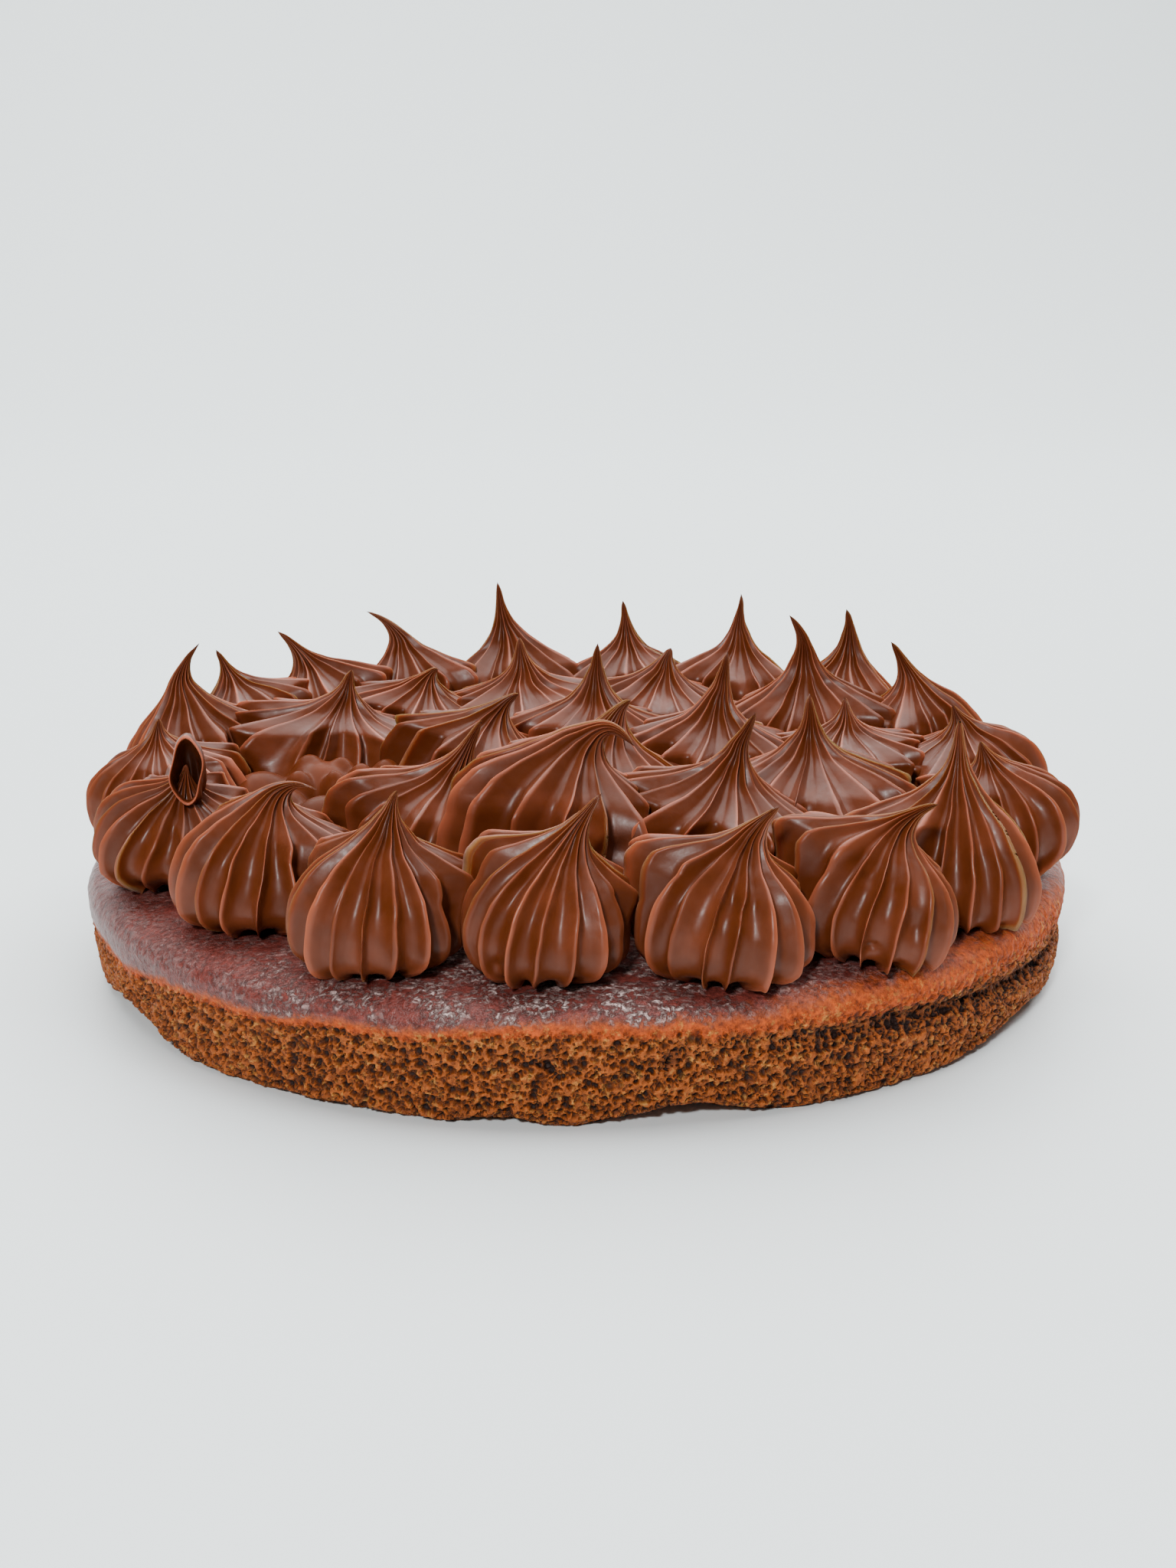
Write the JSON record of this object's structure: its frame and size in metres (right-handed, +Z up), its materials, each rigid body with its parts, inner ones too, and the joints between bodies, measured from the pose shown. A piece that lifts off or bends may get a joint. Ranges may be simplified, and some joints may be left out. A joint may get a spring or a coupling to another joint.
{
  "type": "chocolate sponge tart",
  "caption": "Round single-layer chocolate sponge tart with a rough open-crumb side, its top covered with rings of star-piped ganache kisses drawn up to leaning tips.",
  "frame": {"origin": "middle of the flat underside, at the centre of the sponge's round outline", "axes": "+Z up, -Y towards the front as pictured, +X to the right in that view"},
  "size_m": [0.1801, 0.1801, 0.056],
  "materials": {
    "crumb": "dull open-pored baked chocolate sponge",
    "ganache": "satin whipped milk chocolate ganache"
  },
  "bodies": {
    "root": {"sponge": "crumb", "outer_kiss_01": "ganache", "outer_kiss_02": "ganache", "outer_kiss_03": "ganache", "outer_kiss_04": "ganache", "outer_kiss_05": "ganache", "outer_kiss_06": "ganache", "outer_kiss_07": "ganache", "outer_kiss_08": "ganache", "outer_kiss_09": "ganache", "outer_kiss_10": "ganache", "outer_kiss_11": "ganache", "outer_kiss_12": "ganache", "outer_kiss_13": "ganache", "outer_kiss_14": "ganache", "outer_kiss_15": "ganache", "outer_kiss_16": "ganache", "outer_kiss_17": "ganache", "outer_kiss_18": "ganache", "outer_kiss_19": "ganache", "middle_kiss_01": "ganache", "middle_kiss_02": "ganache", "middle_kiss_03": "ganache", "middle_kiss_04": "ganache", "middle_kiss_05": "ganache", "middle_kiss_06": "ganache", "middle_kiss_07": "ganache", "middle_kiss_08": "ganache", "middle_kiss_09": "ganache", "middle_kiss_10": "ganache", "inner_kiss_01": "ganache", "inner_kiss_02": "ganache", "inner_kiss_03": "ganache", "inner_kiss_04": "ganache", "ganache_heap": "ganache"}
  },
  "joints": []
}
